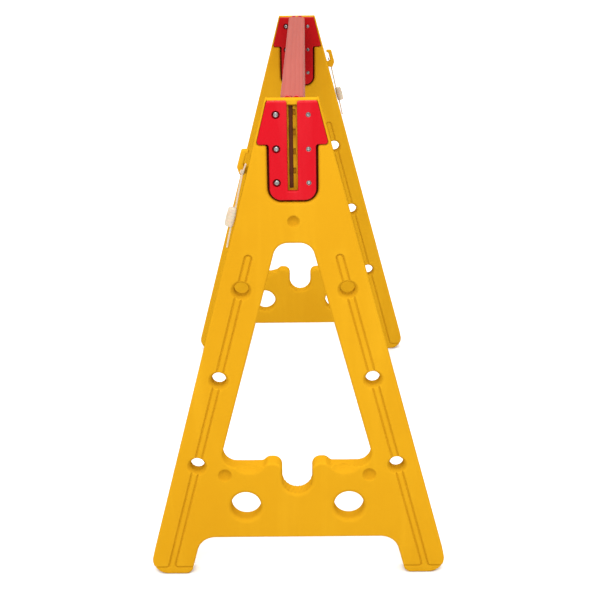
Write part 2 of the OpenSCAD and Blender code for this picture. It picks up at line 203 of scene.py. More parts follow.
def split_long(line, longest):
    """The closed line with its long segments divided."""
    points = []
    for a, b in zip(line, np.roll(line, -1, 0)):
        count = max(1, math.ceil(np.linalg.norm(b - a) / longest))
        points += [a + (b - a) * k / count for k in range(count)]
    return points


def triangulate(outline, holes, lines, grid, longest):
    """Triangles of the outline less the holes, with an edge along every line."""
    points, edges = [], []
    for loop in lines:
        loop = split_long(loop, longest)
        first = len(points)
        points += loop
        edges += [(first + k, first + (k + 1) % len(loop)) for k in range(len(loop))]
    low, high = np.min(outline.line(), 0), np.max(outline.line(), 0)
    for row, z in enumerate(np.arange(low[1] + grid / 2, high[1], grid * 0.87)):
        for x in np.arange(low[0] + grid * (0.25 + row % 2 / 2), high[0], grid):
            points.append(np.array([x, z]))
    found = delaunay_2d_cdt([Vector(p) for p in points], edges, [], 0, 1e-3, False)
    p = np.array([tuple(v) for v in found[0]])
    tris = np.array(found[2])
    middle = p[tris].mean(1)
    keep = outline.distance(middle) < 0
    for hole in holes:
        keep &= hole.distance(middle) > 0
    used, tris = np.unique(tris[keep], return_inverse=True)
    tris = tris.reshape(-1, 3)
    p = p[used]
    a, b, c = p[tris[:, 0]], p[tris[:, 1]], p[tris[:, 2]]
    area = (b[:, 0] - a[:, 0]) * (c[:, 1] - a[:, 1]) - (b[:, 1] - a[:, 1]) * (c[:, 0] - a[:, 0])
    tris[area < 0] = tris[area < 0][:, ::-1]
    return p, tris


def panel(outline, holes, features, faces, depths, seam=0.0, grid=14.0, longest=12.0):
    """Points (across, thickness, up) and polygons of a panel between two faces.
    features are (loop, distances) pairs that only add edges where the depth changes."""
    lines = []
    for loop, sign in [(outline, -1)] + [(hole, 1) for hole in holes]:
        for radius in sorted(set(loop.edge)):
            lines += [loop.line(sign * radius * share) for share in ROUND[1 if lines else 0:]]
        if max(loop.edge) == 0 or sign > 0:
            lines.append(loop.line())
    for loop, distances in features:
        lines += [loop.line(d) for d in distances]
    p, tris = triangulate(outline, holes, lines, grid, longest)
    sunk = []
    for side in (0, 1):
        rounding = rim(-outline.distance(p), outline.edge[side])
        for hole in holes:
            rounding = np.maximum(rounding, rim(hole.distance(p), hole.edge[side]))
        sunk.append(depths[side](p) + rounding)
    front, back = faces[0] + sunk[0], faces[1] - sunk[1]
    count = len(p)
    sides = np.concatenate([tris[:, [0, 1]], tris[:, [1, 2]], tris[:, [2, 0]]])
    keys = {(a, b) for a, b in sides}
    border = [(a, b) for a, b in sides if (b, a) not in keys]
    push = np.zeros((count, 2))
    for a, b in border:
        along = (p[b] - p[a]) / max(np.linalg.norm(p[b] - p[a]), 1e-9)
        push[a] += [along[1], -along[0]]
        push[b] += [along[1], -along[0]]
    push /= np.maximum(np.linalg.norm(push, axis=1), 1e-9)[:, None]
    points = [(x, w, z) for (x, z), w in zip(p, front)]
    points += [(x, w, z) for (x, z), w in zip(p, back)]
    polygons = [tuple(t) for t in tris] + [(c + count, b + count, a + count) for a, b, c in tris]
    rim_points = sorted({v for pair in border for v in pair})
    rows = [{v: v for v in rim_points}]
    for share, out in ((0.47, 0.0), (0.49, seam), (0.51, seam), (0.53, 0.0)) if seam else ():
        row = {}
        for v in rim_points:
            row[v] = len(points)
            x, z = p[v] + push[v] * out
            points.append((x, front[v] + (back[v] - front[v]) * share, z))
        rows.append(row)
    rows.append({v: v + count for v in rim_points})
    for near, far in zip(rows, rows[1:]):
        polygons += [(near[b], near[a], far[a], far[b]) for a, b in border]
    return np.array(points), polygons


def flat_face(p):
    """The depth function of a face with nothing cut into it."""
    return np.zeros(len(p))


def make_piece(name, points, polygons, material, body, nodes, slot, turn):
    """A piece from points in mm. turn places it: a function of the points."""
    points = turn(np.array(points, float))
    mesh = bpy.data.meshes.new(name)
    mesh.from_pydata((points * MM).tolist(), [], [tuple(map(int, f)) for f in polygons])
    mesh.validate()
    mesh.shade_smooth()
    mesh.set_sharp_from_angle(angle=math.radians(SHARP_ANGLE))
    mesh.materials.append(material)
    piece = bpy.data.objects.new(name, mesh)
    bpy.context.scene.collection.objects.link(piece)
    weighted = piece.modifiers.new("even shading", "WEIGHTED_NORMAL")
    weighted.keep_sharp = True
    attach(piece, body)
    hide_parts(*nodes)
    return piece


def half_turn(points):
    """To the rear end of the beam."""
    return points * [-1, -1, 1]


def inner_side(points):
    """From the outer face of the front frame to its inner face."""
    return points * [-1, -1, 1] + [0, 2 * MID_Y, 0]


def placed(*steps):
    """One turn out of several, in order."""
    def turn(points):
        for step in steps:
            points = step(points)
        return points
    return turn


ENDS = (("front", ()), ("rear", (half_turn,)))


# ---- procedural materials ----


class Finish:
    """A material whose colour, roughness and bump come from nodes."""

    def __init__(self, name, **constants):
        self.material = bpy.data.materials.new(name)
        self.material.use_nodes = True
        self.tree = self.material.node_tree
        self.shader = self.tree.nodes["Principled BSDF"]
        self.place = self.tree.nodes.new("ShaderNodeTexCoord").outputs["Object"]
        for socket, value in constants.items():
            self.shader.inputs[socket.replace("_", " ")].default_value = value

    def node(self, kind, inputs, **settings):
        made = self.tree.nodes.new("ShaderNode" + kind)
        for key, value in settings.items():
            setattr(made, key, value)
        for key, value in inputs.items():
            if isinstance(value, bpy.types.NodeSocket):
                self.tree.links.new(value, made.inputs[key])
            else:
                made.inputs[key].default_value = value
        return made

    def stretched(self, scale, offset=(0, 0, 0)):
        inputs = {"Vector": self.place, "Scale": scale, "Location": offset}
        return self.node("Mapping", inputs).outputs["Vector"]

    def noise(self, scale, detail=3.0, rough=0.5, place=None, bend=0.0):
        inputs = {"Vector": place or self.place, "Scale": scale, "Detail": detail,
                  "Roughness": rough, "Distortion": bend}
        return self.node("TexNoise", inputs).outputs["Fac"]

    def scaled(self, value, low, high, to_low, to_high):
        inputs = {"Value": value, "From Min": low, "From Max": high,
                  "To Min": to_low, "To Max": to_high}
        return self.node("MapRange", inputs).outputs["Result"]

    def sums(self, operation, a, b):
        return self.node("Math", {0: a, 1: b}, operation=operation).outputs[0]

    def ramp(self, value, stops):
        made = self.node("ValToRGB", {"Fac": value})
        elements = made.color_ramp.elements
        while len(elements) < len(stops):
            elements.new(0.5)
        for element, (position, colour) in zip(elements, stops):
            element.position, element.color = position, (*colour, 1)
        return made.outputs["Color"]

    def blend(self, share, a, b, mode="MIX"):
        made = self.node("Mix", {}, data_type="RGBA", blend_type=mode)
        for key, value in ((0, share), (6, a), (7, b)):
            if isinstance(value, bpy.types.NodeSocket):
                self.tree.links.new(value, made.inputs[key])
            else:
                made.inputs[key].default_value = value if key == 0 else (*value, 1)
        return made.outputs[2]

    def edges(self, low, high):
        """0 on flats to 1 on outward edges."""
        point = self.node("NewGeometry", {}).outputs["Pointiness"]
        return self.scaled(point, low, high, 0, 1)

    def finish(self, colour, roughness, bumps):
        """bumps are (height, distance in mm, strength), coarse to fine."""
        self.tree.links.new(colour, self.shader.inputs["Base Color"])
        self.tree.links.new(roughness, self.shader.inputs["Roughness"])
        normal = None
        for height, distance, strength in bumps:
            inputs = {"Height": height, "Distance": distance * MM, "Strength": strength}
            if normal is not None:
                inputs["Normal"] = normal
            normal = self.node("Bump", inputs).outputs["Normal"]
        self.tree.links.new(normal, self.shader.inputs["Normal"])
        return self.material


def moulded(name, main, deep, light, rough, peel, grain, gloss=0.4):
    """Moulded plastic: slow drifts of tone, flow streaks, scuffs and a fine grain, with wear and a
    painted highlight on outward edges and painted shade in hollows and deep gaps.
    """
    f = Finish(name, IOR=1.45, Specular_IOR_Level=gloss)
    drift = f.scaled(f.noise(4.0, 4.0, 0.55), 0.3, 0.7, 0, 1)
    colour = f.blend(drift, deep, main)
    streaks = f.noise(7.0, 5.0, 0.6, f.stretched((3.0, 3.0, 0.3)), 0.4)
    colour = f.blend(f.scaled(streaks, 0.5, 0.8, 0, 0.3), colour, light)
    speck = f.scaled(f.noise(420.0, 2.0, 0.6), 0.62, 0.75, 0, 0.2)
    colour = f.blend(speck, colour, deep)
    # Partly wear and partly painted highlight: outward edges and lips are lightened towards the
    # light colour.
    wear_and_highlight = f.sums("MULTIPLY", f.edges(0.515, 0.58), f.scaled(f.noise(45, 3), 0.3, 0.7, 0.2, 0.7))
    colour = f.blend(wear_and_highlight, colour, light)
    # Painted shade: inward creases and hollows are darkened towards the deep colour.
    hollow_shade = f.sums("SUBTRACT", 1.0, f.edges(0.40, 0.49))
    colour = f.blend(f.sums("MULTIPLY", hollow_shade, 0.45), colour, deep, "MULTIPLY")
    # Painted shade: where the point attribute asks, the colour darkens to a dark maroon, standing
    # in for the shade deep in the gap beside each tongue and on the slot floor.
    painted_shade = f.node("Attribute", {}, attribute_name="painted_shade").outputs["Fac"]
    colour = f.blend(painted_shade, colour, (0.12, 0.012, 0.006))
    roughness = f.scaled(f.noise(35.0, 4.0, 0.6), 0.25, 0.75, rough - 0.06, rough + 0.07)
    scuffs = f.noise(30.0, 6.0, 0.7, f.stretched((14.0, 14.0, 1.0)), 1.2)
    roughness = f.sums("ADD", roughness, f.scaled(scuffs, 0.62, 0.78, 0, 0.12))
    return f.finish(colour, roughness, [
        (f.noise(40.0, 2.0, 0.4), 0.5, peel),
        (f.noise(1100.0, 2.0, 0.5), 0.05, grain)])


def steel_finish(name, dark, light, rough):
    f = Finish(name, Metallic=1.0)
    turned = f.noise(300.0, 4.0, 0.6, f.stretched((1, 6, 1)))
    colour = f.blend(f.scaled(turned, 0.3, 0.7, 0, 1), dark, light)
    stain = f.scaled(f.noise(90.0, 4.0, 0.7), 0.55, 0.8, 0, 0.5)
    colour = f.blend(stain, colour, dark)
    roughness = f.scaled(f.noise(240.0, 3.0, 0.6), 0.3, 0.7, rough - 0.06, rough + 0.1)
    return f.finish(colour, roughness, [(f.noise(900.0, 3.0, 0.6), 0.03, 0.3)])


def timber_finish(name):
    """A softwood board under a thin red stain, its grain running along Y."""
    f = Finish(name, IOR=1.10, Specular_IOR_Level=0.5)
    wander = f.noise(1.6, 3.0, 0.5, f.stretched((1.0, 0.45, 1.0)))
    split = f.node("SeparateXYZ", {"Vector": f.place})
    across = f.sums("ADD", split.outputs["X"], f.scaled(wander, 0.0, 1.0, 0.030, 0.056))
    down = f.sums("SUBTRACT", split.outputs["Z"], 0.925)
    squared = f.sums("ADD", f.sums("MULTIPLY", across, across), f.sums("MULTIPLY", down, down))
    rings = f.sums("FRACT", f.sums("MULTIPLY", f.sums("SQRT", squared, 0.0), 230.0), 0.0)
    late = f.ramp(rings, [(0.0, (0, 0, 0)), (0.55, (0.25, 0.25, 0.25)), (0.88, (1, 1, 1)),
                          (1.0, (0, 0, 0))])
    fibre = f.noise(60.0, 6.0, 0.65, f.stretched((8.0, 0.12, 8.0)))
    tone = f.noise(5.0, 4.0, 0.6, f.stretched((4.0, 0.3, 4.0), (3, 1, 0)))
    base = f.ramp(tone, [(0.25, (0.245, 0.044, 0.032)), (0.5, (0.285, 0.056, 0.041)),
                         (0.75, (0.31, 0.074, 0.056))])
    colour = f.blend(f.sums("MULTIPLY", late, 0.40), base, (0.20, 0.026, 0.019))
    colour = f.blend(f.scaled(fibre, 0.3, 0.7, 0.0, 0.35), colour, (0.33, 0.090, 0.068))
    pores = f.noise(170.0, 3.0, 0.7, f.stretched((8.0, 0.2, 8.0)))
    colour = f.blend(f.scaled(pores, 0.6, 0.75, 0, 0.3), colour, (0.15, 0.022, 0.017))
    worn = f.sums("MULTIPLY", f.edges(0.505, 0.55), f.scaled(f.noise(22, 4), 0.35, 0.6, 0.35, 0.9))
    colour = f.blend(worn, colour, (0.36, 0.125, 0.095))
    roughness = f.scaled(fibre, 0.3, 0.7, 0.48, 0.64)
    return f.finish(colour, roughness, [
        (late, 0.2, 0.3), (fibre, 0.3, 0.35), (pores, 0.15, 0.3)])


def strap_finish(name, main, deep, clear):
    f = Finish(name, IOR=1.47, Transmission_Weight=clear, Subsurface_Weight=0.2,
               Subsurface_Scale=0.004)
    cloud = f.scaled(f.noise(45.0, 4.0, 0.6), 0.3, 0.7, 0, 1)
    colour = f.blend(cloud, deep, main)
    roughness = f.scaled(f.noise(150.0, 3.0), 0.3, 0.7, 0.28, 0.42)
    return f.finish(colour, roughness, [
        (f.noise(90.0, 2.0), 0.2, 0.3), (f.noise(1200.0, 2.0), 0.04, 0.3)])


YELLOW = moulded("yellow_moulding", (0.455, 0.228, 0.0070), (0.425, 0.205, 0.0062),
                 (0.56, 0.31, 0.014), 0.50, 0.10, 0.25, 0.0)
RED = moulded("red_moulding", (0.40, 0.0020, 0.008), (0.36, 0.0015, 0.006),
              (0.52, 0.035, 0.045), 0.34, 0.08, 0.18, 0.09)
# Painted shade: the inner plates are the same red moulding as the outer ones, given a darker copy
# of its colour.
SHADED_RED = moulded("shaded_red_moulding", (0.34, 0.0035, 0.005), (0.30, 0.0025, 0.004),
                   (0.42, 0.02, 0.02), 0.36, 0.08, 0.18, 0.07)
STEEL = steel_finish("zinc_steel", (0.11, 0.105, 0.10), (0.42, 0.41, 0.41), 0.24)
DARK_STEEL = steel_finish("insert_steel", (0.24, 0.20, 0.20), (0.56, 0.52, 0.52), 0.28)
TIMBER = timber_finish("stained_timber")
LEAF = moulded("leaf_paint", (0.062, 0.019, 0.006), (0.040, 0.011, 0.004),
               (0.10, 0.025, 0.010), 0.42, 0.2, 0.3, 0.06)
NYLON = moulded("nylon", (0.60, 0.57, 0.50), (0.52, 0.49, 0.42), (0.7, 0.68, 0.62),
                0.4, 0.1, 0.3)
STRAP = strap_finish("clear_strap", (0.55, 0.44, 0.31), (0.47, 0.36, 0.24), 0.28)
GRIP = strap_finish("clear_grip", (0.50, 0.41, 0.30), (0.42, 0.33, 0.23), 0.12)


# ---- the moulded A-frames ----


def bracket_corners(lobe_play, tongue_play, top_z, top_r, inner_r):
    """Outline of a bracket plate, or of its pocket with the clearances added."""
    slope = (LOBE_HALF - PLATE_TOP_HALF) / (PLATE_TOP_Z - LOBE_Z)
    tongue = TONGUE_HALF + tongue_play
    return both_sides([
        (LOBE_HALF + lobe_play - slope * (top_z - LOBE_Z), top_z, top_r),
        (LOBE_HALF + lobe_play, LOBE_Z - lobe_play, 5.0),
        (tongue, LOBE_Z - lobe_play, inner_r),
        (tongue, TONGUE_Z - tongue_play, TONGUE_R + tongue_play)])


def soft_step(distance, outside, inside):
    """0 outside an outline to 1 inside it, along an S curve."""
    t = np.clip((outside - distance) / (outside + inside), 0, 1)
    return t * t * (3 - 2 * t)


def frame_shape():
    """Points, polygons, and how much painted shade lies at each point."""
    inner_foot = FOOT_HALF - FOOT_W
    outline = Loop(both_sides([
        (HEAD_HALF, TOP_Z, 5.0), (FOOT_HALF, 0.0, 28.0), (inner_foot, 0.0, 13.0),
        (inner_foot - LEAN * BAR_BOTTOM_Z, BAR_BOTTOM_Z, 34.0)]),
        edge=(OUTLINE_RIM, OUTLINE_RIM))
    opening = Loop(both_sides([
        (edge_x(ARCH_Z) - LEG_W, ARCH_Z, 25.0), (edge_x(BAR_TOP_Z) - LEG_W, BAR_TOP_Z, 24.0),
        (60.0, BAR_TOP_Z, 8.0), (51.0, BUMP_Z, 12.0), (NOTCH_HALF, BUMP_Z, 15.0),
        (NOTCH_HALF, NOTCH_FLOOR_Z, NOTCH_HALF - 0.1)]), edge=(OPENING_RIM, OPENING_RIM))
    slit = box_loop(FIN_X[0] - 0.2, FIN_X[1] + 0.2, LEAF_Z[0] - 0.2, LEAF_Z[1] + 0.2)
    holes = [opening, slit]
    features, dishes, channels = [(opening, (5.2, 6.2, 7.0))], [], []
    for s in (1, -1):
        holes.append(Loop(disc=(s * BAR_HOLE[0], BAR_HOLE[1], BAR_HOLE_R),
                          edge=(BAR_HOLE_RIM, BAR_HOLE_RIM)))
        for z in LEG_HOLE_Z:
            holes.append(Loop(disc=(s * leg_x(z), z, LEG_HOLE_R), edge=(0.6, 0.6)))
            dishes.append(Loop(disc=(s * leg_x(z), z, DISH_R)))
        top_x, foot_x, half = leg_x(CHANNEL_TOP_Z), leg_x(FOOT_BAND_Z), CHANNEL_HALF
        channel = Loop([
            (s * (top_x + half), CHANNEL_TOP_Z + half, half - 0.3),
            (s * (foot_x + half), FOOT_BAND_Z, 4.0),
            (s * (FOOT_HALF + 30), FOOT_BAND_Z, 0.0), (s * (FOOT_HALF + 30), -30.0, 0.0),
            (s * (inner_foot - 60), -30.0, 0.0), (s * (inner_foot - 60), FOOT_BAND_Z, 0.0),
            (s * (foot_x - half), FOOT_BAND_Z, 4.0),
            (s * (top_x - half), CHANNEL_TOP_Z + half, half - 0.3)])
        features.append((channel, (2.0, 1.2, 0.5, -0.2, -0.9, -1.6, -2.3, -3.1, -3.8)))
        channels.append(channel)
    features += [(dish, (3.5, 2.5, 1.6, 0.8, 0.0, -0.8, -1.6)) for dish in dishes]
    bowls = [Loop(disc=d) for d in DIMPLES]
    features += [(bowl, (1.4, 0.7, 0.0, -0.7, -1.5, -3.5, -6.0, -9.0)) for bowl in bowls]
    scoops = [Loop(disc=(s * SCOOP[0], SCOOP[1], SCOOP[2])) for s in (1, -1)]
    features += [(scoop, (0.0, -1.2, -2.4, -3.6, -5.5, -8.0, -11.0)) for scoop in scoops]
    pocket = Loop(bracket_corners(0.5, 3.5, TOP_Z + 8, 0.0, 5.0))
    features.append((pocket, (5.5, 4.1, 2.8, 1.7, 0.8, 0.25, 0.0, -0.4)))
    plate = Loop(bracket_corners(0.0, 0.0, PLATE_TOP_Z, 4.0, 4.0))
    features.append((plate, (0.4, 0.0)))
    window = box_loop(-SLOT_HALF, SLOT_HALF, *SLOT_Z, 1.5)
    seat = box_loop(-14.2, 14.2, LEAF_Z[0] - 0.2, LEAF_Z[1] + 0.2, 1.0)
    marks = [box_loop(FIN_X[0], 5.6, z - 5.0, z + 5.0) for z in LUG_Z]
    features += [(loop, (0.3, -0.3)) for loop in (window, seat)]
    features += [(mark, (0.2, -0.5)) for mark in marks]

    def common(p, scooped):
        depth = np.zeros(len(p))
        for channel in channels:
            d = channel.distance(p)
            crease = CREASE_D * soft_step(np.abs(d - CREASE_AT), CREASE_HALF, 0.0)
            depth = np.maximum(depth, CHANNEL_D * soft_step(d, 1.5, 1.5) + crease)
        for dish in dishes:
            t = np.clip((DISH_LIP - dish.distance(p)) / (DISH_LIP + DISH_R - LEG_HOLE_R), 0, 1)
            depth = np.maximum(depth, DISH_D * t**1.8)
        for bowl in bowls:
            r = bowl.disc[2]
            d = np.clip(bowl.distance(p) + r, 0, r) / r
            cut = DIMPLE_D * (1 - d * d) * soft_step(bowl.distance(p), 0, 1.8)
            depth = np.maximum(depth, cut)
        d = opening.distance(p)
        ledge, wide = rim(np.maximum(d, 0), OPENING_RIM), rim(np.maximum(d, 0), LEDGE_RIM)
        below = soft_step(p[:, 1] - BAR_TOP_Z, 4.0, 12.0) * (d > 0)
        depth = np.maximum(depth, below * np.maximum(wide - ledge, 0))
        for scoop in scoops:
            inside = np.clip(-scoop.distance(p), 0, 16.0)
            cut = scooped * inside**2 / (inside + 4.0) * (p[:, 1] < SCOOP[1])
            depth = np.maximum(depth, np.maximum(cut - ledge, 0))
        d = pocket.distance(p)
        low = np.clip((LOBE_Z + 5 - p[:, 1]) / 5.0, 0, 1)
        lip = 1.3 + 4.2 * low * low * (3 - 2 * low)
        wall = lip + (POCKET_D - lip) * np.clip(-d / 0.4, 0, 1)
        wall += (GAP_D - POCKET_D) * low * np.clip(plate.distance(p) / 0.4, 0, 1) * (d < -0.2)
        return np.where(d < 0, wall, np.maximum(depth, rim(d, lip)))

    def front(p):
        depth = common(p, SCOOP_FRONT)
        depth += (WINDOW_D - POCKET_D) * np.clip((0.3 - window.distance(p)) / 0.6, 0, 1)
        for mark in marks:
            depth += MARK_D * np.clip((0.2 - mark.distance(p)) / 0.7, 0, 1)
        return depth

    def back(p):
        sunk = np.clip((0.3 - seat.distance(p)) / 0.6, 0, 1)
        return common(p, SCOOP_BACK) + (SEAT_D - POCKET_D) * sunk

    points, polygons = panel(outline, holes, features, (FRONT_Y, BACK_Y), (front, back), seam=0.08)
    points[:, 2] = np.maximum(points[:, 2], 0.0)
    flat = points[:, [0, 2]]
    # Painted shade, fading in from 8 mm below the face, deep in the gap beside each bracket's
    # tongue.
    in_gap = (pocket.distance(flat) < -0.3) & (plate.distance(flat) > -0.1) & (flat[:, 1] < LOBE_Z)
    sunk = np.minimum(points[:, 1] - FRONT_Y, BACK_Y - points[:, 1])
    painted_shade = in_gap * np.clip((sunk - 8.0) / 2.0, 0, 1)
    # Lighter painted shade on the slot floor, stronger at the lug marks, where the lugs shade it.
    on_floor = (window.distance(flat) < 0) & (points[:, 1] < BACK_Y - SEAT_D - 1)
    on_floor &= points[:, 1] > FRONT_Y + WINDOW_D - 1
    in_mark = np.any([mark.distance(flat) < 0.2 for mark in marks], 0)
    return points, polygons, np.maximum(painted_shade, on_floor * np.where(in_mark, 0.5, 0.2))


# PAINTED_SHADE holds the painted shade at each point of an A-frame.
*FRAME_MESH, PAINTED_SHADE = frame_shape()
for end, steps in ENDS:
    a_frame = make_piece(f"{end}_a_frame", *FRAME_MESH, YELLOW, f"{end}_end", [f"{end}_frame"],
                         "frame_plastic", placed(*steps))
    a_frame.data.attributes.new("painted_shade", "FLOAT", "POINT").data.foreach_set("value", PAINTED_SHADE)


# ---- bracket plates ----


def ear_points():
    """Top edge of the inner plate's right half: the straight edge, then an ear's arc."""
    r, top = EAR_R, TOP_Z + EAR_PROUD
    start = math.degrees(math.asin((PLATE_TOP_Z - (top - r)) / r))
    turns = np.radians(np.linspace(start, 180 - start, 14))
    return [(r + r * math.cos(t), top - r + r * math.sin(t), 0.0) for t in turns]


def bracket_shape(ears):
    corners = bracket_corners(0.0, 0.0, PLATE_TOP_Z, 4.0, 4.0)
    screws = [Loop(disc=(-SCREW_X, z, 3.3)) for z in SCREW_Z]
    recesses = [Loop(disc=(-SCREW_X, z, RECESS_R)) for z in SCREW_Z]
    holes = screws + [Loop(disc=(SCREW_X, z, 4.05), edge=(0.7, 0.2)) for z in SCREW_Z]
    if ears:
        right = ear_points()
        corners += [(-x, z, r) for x, z, r in right] + right[::-1]
        slot = box_loop(-SLOT_HALF, SLOT_HALF, *SLOT_Z, 1.5)
        slot.edge = (1.4, 0.3)
        holes.append(slot)
    else:
        corners += [(-SLOT_HALF, PLATE_TOP_Z, 4.0), (-SLOT_HALF, SLOT_Z[0], 2.0),
                    (SLOT_HALF, SLOT_Z[0], 2.0), (SLOT_HALF, PLATE_TOP_Z, 4.0)]
    outline = Loop(corners, edge=(2.6, 0.4))
    features = [(recess, (0.9, 0.4, 0.1, 0.0, -0.15, -0.5)) for recess in recesses]

    def front(p):
        depth = np.zeros(len(p))
        for recess in recesses:
            d = recess.distance(p)
            wall = RECESS_RIM + (RECESS_D - RECESS_RIM) * np.clip(-d / 0.15, 0, 1)
            depth = np.maximum(depth, np.where(d < 0, wall, rim(d, RECESS_RIM)))
        return depth

    return panel(outline, holes, features, (FRONT_Y - PLATE_PROUD, FRONT_Y + POCKET_D),
                 (front, flat_face), grid=9.0, longest=6.0)


OUTER_PLATE, INNER_PLATE = bracket_shape(False), bracket_shape(True)
# The inner plates take the darker, painted-shade copy of the red.
for end, steps in ENDS:
    make_piece(f"{end}_outer_plate", *OUTER_PLATE, RED, f"{end}_end",
               [f"{end}_outer_bracket"], "bracket_plastic", placed(*steps))
    make_piece(f"{end}_inner_plate", *INNER_PLATE, SHADED_RED, f"{end}_end",
               [f"{end}_inner_bracket"], "bracket_plastic", placed(inner_side, *steps))


# ---- turned pieces: screws, inserts, grips ----


def turned_shape(profile, closed=False, count=40):
    """A solid of revolution about its third axis. A profile row is (radius, height), and a
    third entry makes that row a hexagon with this radius to its corners."""
    points, rows = [], []
    for radius, height, *hexagon in profile:
        if radius == 0:
            rows.append([len(points)])
            points.append((0.0, 0.0, height))
            continue
        rows.append(list(range(len(points), len(points) + count)))
        for k in range(count):
            angle = 360.0 * k / count
            r = radius
            if hexagon:
                r *= math.cos(math.radians(30)) / math.cos(math.radians((angle + 30) % 60 - 30))
            points.append((r * math.cos(math.radians(angle)), r * math.sin(math.radians(angle)),
                           height))
    if closed:
        rows.append(rows[0])
    polygons = []
    for low, high in zip(rows, rows[1:]):
        for k in range(count):
            quad = (low[k % len(low)], low[(k + 1) % len(low)],
                    high[(k + 1) % len(high)], high[k % len(high)])
            polygons.append(tuple(dict.fromkeys(quad)))
    return np.array(points), polygons


def joined(shapes):
    """Several (points, polygons) shapes as one."""
    points, polygons = [], []
    for some_points, some_polygons in shapes:
        start = sum(len(p) for p in points)
        points.append(some_points)
        polygons += [tuple(v + start for v in polygon) for polygon in some_polygons]
    return np.concatenate(points), polygons


def facing_front(shape, x, y, z):
    """A turned shape laid down so that its top faces the front of the frame."""
    points, polygons = shape
    return np.stack([points[:, 0] + x, y - points[:, 2], points[:, 1] + z], 1), polygons


def screw_shape(head_r, top, socket_r, socket_d, shank_r, length):
    """A cylinder-head screw with a hexagon socket. Height 0 is the head's seat."""
    return turned_shape([
        (0, -length), (shank_r - 0.8, -length), (shank_r - 0.3, -length + 0.3),
        (shank_r, -length + 0.9), (shank_r, -0.4), (shank_r + 0.3, 0.0), (head_r - 0.2, 0.0),
        (head_r, 0.2), (head_r, top * 0.52), (head_r - 0.12, top * 0.66),
        (head_r - 0.45, top * 0.80), (head_r - 0.95, top * 0.91), (head_r - 1.5, top * 0.975),
        (head_r - 1.9, top), (socket_r + 0.35, top), (socket_r + 0.08, top - 0.12, 6),
        (socket_r, top - 0.4, 6), (socket_r, top - socket_d, 6), (0, top - socket_d - 0.5)])


SEAT_Y = FRONT_Y - PLATE_PROUD + RECESS_D
SHANK = BACK_Y + PLATE_PROUD - 1.5 - SEAT_Y
BRACKET_SCREW = screw_shape(4.8, HEAD_H, 2.1, 3.0, 3.0, SHANK)
SCREWS = joined([facing_front(BRACKET_SCREW, -SCREW_X, SEAT_Y, z) for z in SCREW_Z])
INSERT = turned_shape([
    (3.05, -9.6), (4.0, -9.6), (4.0, -0.35), (3.75, -0.05), (3.4, 0.0), (3.05, -0.5)], True)
INSERTS = joined([facing_front(INSERT, SCREW_X, FRONT_Y - PLATE_PROUD + 0.4, z) for z in SCREW_Z])
for end, steps in ENDS:
    for side, side_steps in (("outer", ()), ("inner", (inner_side,))):
        make_piece(f"{end}_{side}_socket_screws", *SCREWS, STEEL, f"{end}_end",
                   [f"{end}_{side}_screws"], "steel", placed(*side_steps, *steps))
        opposite = (inner_side,) if side == "outer" else ()
        make_piece(f"{end}_{side}_threaded_inserts", *INSERTS, DARK_STEEL, f"{end}_end",
                   [f"{end}_{side}_inserts"], "steel", placed(*opposite, *steps))

KEEPER_SCREW = screw_shape(4.0, 2.2, 1.5, 1.3, 2.0, 25.0)
KEEPER_SCREWS = joined([
    (KEEPER_SCREW[0] * [1, -1, -1] + [0, y, BEAM_BOTTOM_Z - 3.0], KEEPER_SCREW[1])
    for y in (-482.0, -466.0)])
for end, steps in ENDS:
    make_piece(f"{end}_keeper_fixings", *KEEPER_SCREWS, STEEL, "beam",
               [f"{end}_keeper_screws"], "steel", placed(*steps))


# ---- stay: hook, strap and grip ----


def left_side(shape):
    """Mirrors a shape to the left edge, keeping its faces outward."""
    points, polygons = shape
    return points * [-1, 1, 1], [polygon[::-1] for polygon in polygons]


def hook_shape():
    outline = Loop([
        (66.3, 742.0, 1.0), (66.3, 755.5, 1.0), (75.0, 755.5, 1.5), (80.4, 757.5, 2.0),
        (75.4, 776.5, 1.5), (71.4, 776.5, 1.0), (70.6, 782.5, 2.0), (83.0, 782.5, 4.0),
        (90.8, 754.0, 7.0), (86.0, 739.5, 5.0), (78.5, 742.0, 2.0)], edge=(2.0, 2.0))
    root = box_loop(60.0, 79.6, 735.0, 760.5, 0.5)

    def front(p):
        return 6.0 * np.clip((0.4 - root.distance(p)) / 0.8, 0, 1)

    return panel(outline, [], [(root, (0.4, -0.4))], (MID_Y - 7.0, MID_Y + 7.0),
                 (front, flat_face), grid=4.0, longest=3.0)


def stay_x(z):
    """Middle of the strap at height z, on the right-hand side."""
    heights, outs = zip(*STAY_PATH[::-1])
    return edge_x(z) + np.interp(z, heights, outs)


def strap_shape():
    """A bent band, and the peg that holds it in the hook's root."""
    corners = []
    for side, path in ((1, STAY_PATH), (-1, STAY_PATH[::-1])):
        for z, _ in path:
            radius = 1.2 if z in (STAY_PATH[0][0], STAY_PATH[-1][0]) else 12.0
            corners.append((stay_x(z) + side * STRAP_HALF, z, radius))
    band = panel(Loop(corners, edge=(1.1, 1.1)), [], [], STAY_Y, (flat_face, flat_face),
                 grid=3.0, longest=3.0)
    peg_x = stay_x(PEG_Z) + STRAP_HALF
    length = STAY_Y[1] - STAY_Y[0]
    peg = turned_shape([
        (0, -length - 10.0), (1.5, -length - 10.0), (2.0, -length - 9.5), (2.0, -length - 2.0),
        (3.5, -length - 2.0), (3.5, -1.0), (3.1, -0.4), (2.3, 0.0), (1.6, 0.1), (1.3, -0.3),
        (0, -0.5)])
    return joined([band, facing_front(peg, peg_x, STAY_Y[0], PEG_Z)])


